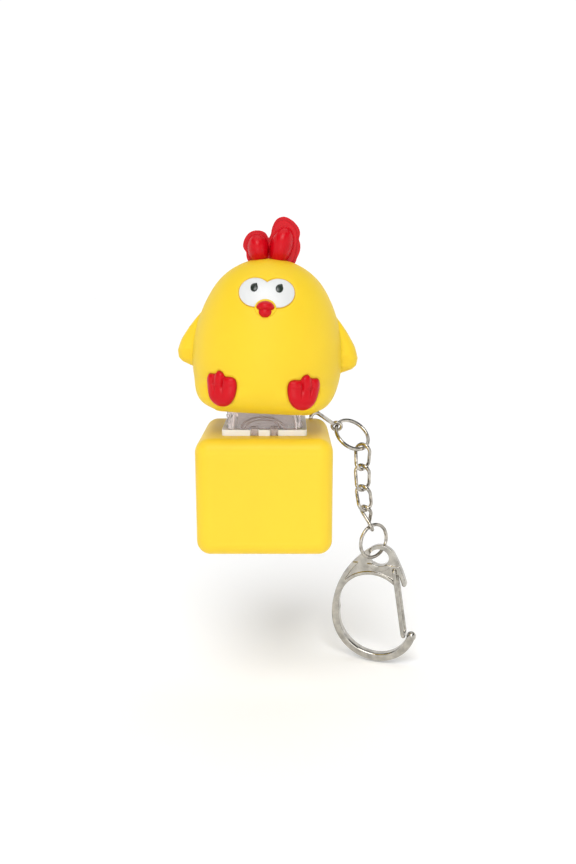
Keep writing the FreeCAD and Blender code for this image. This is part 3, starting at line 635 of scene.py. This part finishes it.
def housing_arch():
    """The two raised arcs moulded on the clear housing's front wall."""
    wall = frame["nodes"]["upper_housing"]
    corners = [wall.matrix_world @ v.co for v in wall.data.vertices]
    tree = BVHTree.FromPolygons(corners, [tuple(p.vertices) for p in wall.data.polygons])
    verts, faces = [], []
    turn = turn_steps(12)
    along = np.linspace(0.0, math.pi, 49)
    for wide, high in ARCH_SIZES:
        faces += tube_faces(len(along), len(turn), len(verts))
        for angle in along:
            x = ARCH_MIDDLE[0] + wide * math.cos(angle)
            z = ARCH_MIDDLE[1] + high * math.sin(angle)
            hit = tree.ray_cast(Vector((x, IN_FRONT, z)) * MM, Vector((0.0, 1.0, 0.0)))[0]
            sideways = Vector((high * math.cos(angle), 0.0, wide * math.sin(angle))).normalized()
            for a in turn:
                verts.append(hit / MM + sideways * ARCH_RIB * math.cos(a)
                             + Vector((0.0, ARCH_RIB * math.sin(a), 0.0)))
    return new_piece("housing_arch", verts, faces)


# ---- materials -------------------------------------------------------------------------------------
COAT_ROUGHNESS = 0.12
SOFT_DEPTH = 0.0012
SMUDGE_SIZE = 180.0
GRAIN_HEIGHT = 0.00005


def material(name, colour, roughness, metallic=0.0, tint=0.04, grain=0.0, grain_size=400.0,
             smudge=0.06, coat=0.0, soft=0.0, soft_colour=None, clear=0.0, ior=1.5, shine=0.5,
             patch_size=55.0):
    """A moulded or plated surface: slight mottling, uneven roughness and a fine grain in its bump."""
    mat = bpy.data.materials.new(name)
    mat.use_nodes = True
    nodes, links = mat.node_tree.nodes, mat.node_tree.links
    shader = nodes["Principled BSDF"]
    shader.inputs["Metallic"].default_value = metallic
    shader.inputs["IOR"].default_value = ior
    shader.inputs["Specular IOR Level"].default_value = shine
    shader.inputs["Coat Weight"].default_value = coat
    shader.inputs["Coat Roughness"].default_value = COAT_ROUGHNESS
    shader.inputs["Transmission Weight"].default_value = clear
    if soft > 0.0:
        shader.inputs["Subsurface Weight"].default_value = soft
        shader.inputs["Subsurface Radius"].default_value = soft_colour or (1.0, 0.5, 0.2)
        shader.inputs["Subsurface Scale"].default_value = SOFT_DEPTH
    place = nodes.new("ShaderNodeTexCoord")
    mottle = nodes.new("ShaderNodeTexNoise")
    mottle.inputs["Scale"].default_value = patch_size
    mottle.inputs["Detail"].default_value = 5.0
    links.new(place.outputs["Object"], mottle.inputs["Vector"])
    ramp = nodes.new("ShaderNodeValToRGB")
    deep = [max(0.0, c * (1.0 - tint)) for c in colour]
    pale = [min(1.0, c * (1.0 + tint)) for c in colour]
    ramp.color_ramp.elements[0].position = 0.3
    ramp.color_ramp.elements[0].color = (*deep, 1.0)
    ramp.color_ramp.elements[1].position = 0.7
    ramp.color_ramp.elements[1].color = (*pale, 1.0)
    links.new(mottle.outputs["Fac"], ramp.inputs["Fac"])
    links.new(ramp.outputs["Color"], shader.inputs["Base Color"])
    patches = nodes.new("ShaderNodeTexNoise")
    patches.inputs["Scale"].default_value = SMUDGE_SIZE
    patches.inputs["Detail"].default_value = 4.0
    links.new(place.outputs["Object"], patches.inputs["Vector"])
    spread = nodes.new("ShaderNodeMapRange")
    spread.inputs["To Min"].default_value = max(0.0, roughness - smudge)
    spread.inputs["To Max"].default_value = min(1.0, roughness + smudge)
    links.new(patches.outputs["Fac"], spread.inputs["Value"])
    links.new(spread.outputs["Result"], shader.inputs["Roughness"])
    if grain > 0.0:
        fine = nodes.new("ShaderNodeTexNoise")
        fine.inputs["Scale"].default_value = grain_size
        fine.inputs["Detail"].default_value = 3.0
        links.new(place.outputs["Object"], fine.inputs["Vector"])
        bump = nodes.new("ShaderNodeBump")
        bump.inputs["Strength"].default_value = grain
        bump.inputs["Distance"].default_value = GRAIN_HEIGHT
        links.new(fine.outputs["Fac"], bump.inputs["Height"])
        links.new(bump.outputs["Normal"], shader.inputs["Normal"])
    return mat


def make_materials():
    """The finishes, by the record's slot names, and two darker ones that paint shade round the eye patch
    and the feet.
    """
    return {
        "case_yellow": material("case_abs", (0.83, 0.575, 0.033), 0.42, tint=0.02, grain=0.2,
                                grain_size=2600.0, soft=0.1, shine=0.2),
        "chick_yellow": material("chick_vinyl", (0.81, 0.56, 0.019), 0.5, tint=0.025, grain=0.18,
                                 grain_size=2200.0, soft=0.12, shine=0.28),
        "chick_red": material("red_vinyl", (0.56, 0.001, 0.008), 0.34, tint=0.06, grain=0.10,
                              grain_size=1800.0, soft=0.06, soft_colour=(1.0, 0.1, 0.08), shine=0.2),
        # Painted shade: these two darker finishes colour the rings round the eye patch and the feet,
        # standing in for the shade in their grooves.
        "painted_shade_ring": material("painted_shade_vinyl", (0.62, 0.33, 0.03), 0.6, tint=0.1, shine=0.2),
        "red_shade_ring": material("painted_red_shade_vinyl", (0.42, 0.035, 0.008), 0.6, tint=0.1, shine=0.2),
        "chick_white": material("white_vinyl", (0.68, 0.69, 0.685), 0.36, tint=0.02, grain=0.12,
                                grain_size=2200.0, soft=0.15, soft_colour=(1.0, 0.9, 0.8)),
        "chick_black": material("pupil_paint", (0.022, 0.035, 0.026), 0.22, tint=0.5, grain=0.1),
        "insert_white": material("insert_abs", (0.78, 0.78, 0.74), 0.45, grain=0.2, grain_size=2500.0),
        "switch_white": material("switch_nylon", (0.88, 0.87, 0.85), 0.38, tint=0.03, grain=0.2,
                                 grain_size=2500.0, soft=0.1),
        "switch_clear": material("clear_polycarbonate", (0.92, 0.82, 0.79), 0.05, tint=0.03, smudge=0.04,
                                 clear=0.85, ior=1.42, grain=0.06, grain_size=900.0),
        "stem_grey": material("stem_acetal", (0.52, 0.42, 0.42), 0.42, tint=0.08, grain=0.2),
        "spring_steel": material("spring_wire", (0.62, 0.62, 0.63), 0.22, metallic=1.0, tint=0.05),
        "contact_copper": material("copper_strip", (0.72, 0.40, 0.22), 0.3, metallic=1.0, tint=0.12),
        "contact_brass": material("brass_disc", (0.75, 0.55, 0.24), 0.33, metallic=1.0, tint=0.12),
        "contact_nickel": material("nickel_strip", (0.62, 0.60, 0.56), 0.3, metallic=1.0, tint=0.08),
        "cell_steel": material("cell_can", (0.66, 0.66, 0.66), 0.22, metallic=1.0, tint=0.05),
        "board_green": material("board_mask", (0.01, 0.12, 0.045), 0.3, tint=0.3, coat=0.4),
        "chip_black": material("epoxy_blob", (0.012, 0.012, 0.013), 0.18, tint=0.3),
        "led_clear": material("led_epoxy", (0.9, 0.86, 0.6), 0.12, clear=0.7),
        "foam_black": material("foam", (0.02, 0.02, 0.021), 0.95, tint=0.3, grain=0.9, grain_size=1500.0),
        "wire_red": material("wire_pvc", (0.45, 0.01, 0.012), 0.35, tint=0.1),
        "screw_steel": material("zinc_plate", (0.45, 0.45, 0.46), 0.3, metallic=1.0, tint=0.15),
        # Painted reflection: the chain and hook get a darker, brownish base colour and strong mottling
        # (tint and fine patches) that stand in for the dark, broken reflections of their surroundings.
        "chain_chrome": material("chain_plating", (0.47, 0.44, 0.39), 0.11, metallic=1.0, tint=0.45,
                                 smudge=0.06, grain=0.10, grain_size=1500.0, patch_size=900.0),
        "hook_chrome": material("hook_plating", (0.44, 0.42, 0.38), 0.10, metallic=1.0, tint=0.25,
                                smudge=0.06, grain=0.08, grain_size=1200.0, patch_size=700.0),
    }


def dress(finishes):
    """Gives every carried-over CAD node the finish of its slot."""
    for part in frame["record"]["subparts"]:
        node = frame["nodes"][part["node"]]
        node.data.materials.clear()
        node.data.materials.append(finishes[part["material_slot"]])


# ---- studio ------------------------------------------------------------------------------------------
CAMERA_PLACE = (4.34, -145.56, 50.21)
CAMERA_PITCH = 11.36
CAMERA_LENS = 32.03
FLOOR_REACH = 3.0
FLOOR_GAP = 0.0004
FLOOR_GLOW = 0.07
SUN_STRENGTH = 1.7
SUN_SPREAD = 35.0
SUN_DIRECTION = (0.08, 0.64, -0.85)
GAP_LIGHT_PLACE = (-0.02, -0.30, 0.03)
GAP_LIGHT_SIZE = 0.10
GAP_LIGHT_POWER = 0.09
LIGHT_AIM = (0.004, 0.0, 0.02)
TENT_STRENGTH = 1.05


def pale_floor():
    floor_mesh = bpy.data.meshes.new("floor")
    reach = FLOOR_REACH
    level = cad_low.z - FLOOR_GAP
    floor_mesh.from_pydata([(-reach, -reach, level), (reach, -reach, level), (reach, reach, level),
                            (-reach, reach, level)], [], [(0, 1, 2, 3)])
    floor = bpy.data.objects.new("floor", floor_mesh)
    bpy.context.scene.collection.objects.link(floor)
    paper = material("floor_paper", (0.97, 0.97, 0.97), 0.9, tint=0.005)
    surface = paper.node_tree.nodes["Principled BSDF"]
    surface.inputs["Emission Color"].default_value = (1.0, 1.0, 1.0, 1.0)
    surface.inputs["Emission Strength"].default_value = FLOOR_GLOW
    floor_mesh.materials.append(paper)


def sun_light():
    sun_data = bpy.data.lights.new("sun_light", "SUN")
    sun_data.energy = SUN_STRENGTH
    sun_data.angle = math.radians(SUN_SPREAD)
    sun = bpy.data.objects.new("sun_light", sun_data)
    bpy.context.scene.collection.objects.link(sun)
    sun.rotation_euler = Vector(SUN_DIRECTION).to_track_quat("-Z", "Y").to_euler()


def studio():
    """The camera, the floor and the lights."""
    camera_data = bpy.data.cameras.new("camera")
    camera = bpy.data.objects.new("camera", camera_data)
    bpy.context.scene.collection.objects.link(camera)
    camera.location = Vector(CAMERA_PLACE) * MM
    camera.rotation_euler = (math.radians(90.0 - CAMERA_PITCH), 0.0, 0.0)
    camera_data.lens = CAMERA_LENS
    camera_data.sensor_width = 36.0
    camera_data.clip_start = 0.005
    camera_data.clip_end = 20.0
    bpy.context.scene.camera = camera
    light_tent()
    pale_floor()
    sun_light()
    soft_light("gap_light", GAP_LIGHT_PLACE, GAP_LIGHT_SIZE, GAP_LIGHT_POWER)
    view = bpy.context.scene.view_settings
    view.view_transform = "Standard"
    view.look = "None"


def band(links, nodes, source, stops):
    """Brightness along one direction of the tent, as a ramp of (position, grey) stops."""
    spread = nodes.new("ShaderNodeMapRange")
    spread.inputs["From Min"].default_value = -1.0
    spread.inputs["From Max"].default_value = 1.0
    links.new(source, spread.inputs["Value"])
    ramp = nodes.new("ShaderNodeValToRGB")
    while len(ramp.color_ramp.elements) < len(stops):
        ramp.color_ramp.elements.new(0.5)
    for element, (position, grey) in zip(ramp.color_ramp.elements, stops):
        element.position = position
        element.color = (grey, grey, grey, 1.0)
    links.new(spread.outputs["Result"], ramp.inputs["Fac"])
    return ramp.outputs["Color"]


TENT_HEIGHT_STOPS = ((0.0, 1.0), (0.75, 1.0), (0.77, 0.05), (0.88, 0.05), (0.91, 1.0), (1.0, 1.0))
TENT_EAVES_STOPS = ((0.0, 0.0), (0.74, 0.0), (0.76, 1.0), (1.0, 1.0))
TENT_SIDE_STOPS = ((0.0, 0.4), (0.07, 0.4), (0.10, 1.0), (0.90, 1.0), (0.93, 0.4), (1.0, 0.4))
TENT_DEPTH_STOPS = ((0.0, 0.05), (0.10, 0.08), (0.13, 1.0), (0.24, 1.0), (0.27, 0.03), (0.42, 0.03),
                    (0.45, 1.0), (1.0, 1.0))


def multiplied(links, nodes, first, second):
    """One strip of the tent over another."""
    mix = nodes.new("ShaderNodeMix")
    mix.data_type = "RGBA"
    mix.blend_type = "MULTIPLY"
    mix.inputs["Factor"].default_value = 1.0
    links.new(first, mix.inputs["A"])
    links.new(second, mix.inputs["B"])
    return mix


def light_tent():
    """A white tent with dark strips in it, which is what the plated wire and hook mirror."""
    world = bpy.data.worlds.new("studio")
    bpy.context.scene.world = world
    world.use_nodes = True
    nodes, links = world.node_tree.nodes, world.node_tree.links
    place = nodes.new("ShaderNodeTexCoord")
    split = nodes.new("ShaderNodeSeparateXYZ")
    links.new(place.outputs["Generated"], split.inputs["Vector"])
    height = band(links, nodes, split.outputs["Z"], TENT_HEIGHT_STOPS)
    depth = band(links, nodes, split.outputs["Y"], TENT_DEPTH_STOPS)
    both = multiplied(links, nodes, height, depth)
    eaves = band(links, nodes, split.outputs["Z"], TENT_EAVES_STOPS)
    links.new(eaves, both.inputs["Factor"])
    sides = band(links, nodes, split.outputs["X"], TENT_SIDE_STOPS)
    walls = multiplied(links, nodes, both.outputs["Result"], sides)
    links.new(eaves, walls.inputs["Factor"])
    links.new(walls.outputs["Result"], nodes["Background"].inputs["Color"])
    nodes["Background"].inputs["Strength"].default_value = TENT_STRENGTH


def soft_light(name, place, size, power):
    """A square light aimed at the toy."""
    data = bpy.data.lights.new(name, "AREA")
    data.size = size
    data.energy = power
    light = bpy.data.objects.new(name, data)
    bpy.context.scene.collection.objects.link(light)
    light.location = place
    aim = Vector(LIGHT_AIM) - light.location
    light.rotation_euler = aim.to_track_quat("-Z", "Y").to_euler()


# ---- everything together ---------------------------------------------------------------------------
def finish_piece(piece, finish, slot, *nodes, body="key"):
    """Gives a piece its finish and its body, and hides the CAD nodes it stands for. Its slot is not used.
    """
    piece.data.materials.append(finish)
    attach(piece, body)
    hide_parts(*nodes)


finishes = make_materials()
dress(finishes)
finish_piece(body_mesh(), finishes["chick_yellow"], "chick_yellow", "chick_body")
finish_piece(eye_patch(), finishes["chick_white"], "chick_white", "eye_patch")
for side in (-1.0, 1.0):
    finish_piece(pupil(side), finishes["chick_black"], "chick_black", "pupils")
finish_piece(beak(), finishes["chick_red"], "chick_red", "beak")
finish_piece(beak_surround(), finishes["chick_yellow"], "chick_yellow", "chick_body")
finish_piece(comb(), finishes["chick_red"], "chick_red", "comb")
finish_piece(foot(1.0), finishes["chick_red"], "chick_red", "left_foot")
finish_piece(foot(-1.0), finishes["chick_red"], "chick_red", "right_foot")
# Painted shade: darker rings round the eye patch and the feet, where shade falls in their grooves.
finish_piece(eye_shade_ring(), finishes["painted_shade_ring"], "chick_yellow", "chick_body")
finish_piece(foot_shade_ring(1.0), finishes["red_shade_ring"], "chick_red", "chick_body")
finish_piece(foot_shade_ring(-1.0), finishes["red_shade_ring"], "chick_red", "chick_body")
finish_piece(squeezed_spring(), finishes["spring_steel"], "spring_steel", "return_spring", body="case")
arch = housing_arch()
arch.data.materials.append(finishes["switch_clear"])
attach(arch, "case")
finish_piece(softened_copy("hook_body", "cast_hook", HOOK_VOXEL, 8), finishes["hook_chrome"],
             "hook_chrome", "hook_body", body="hook")
studio()
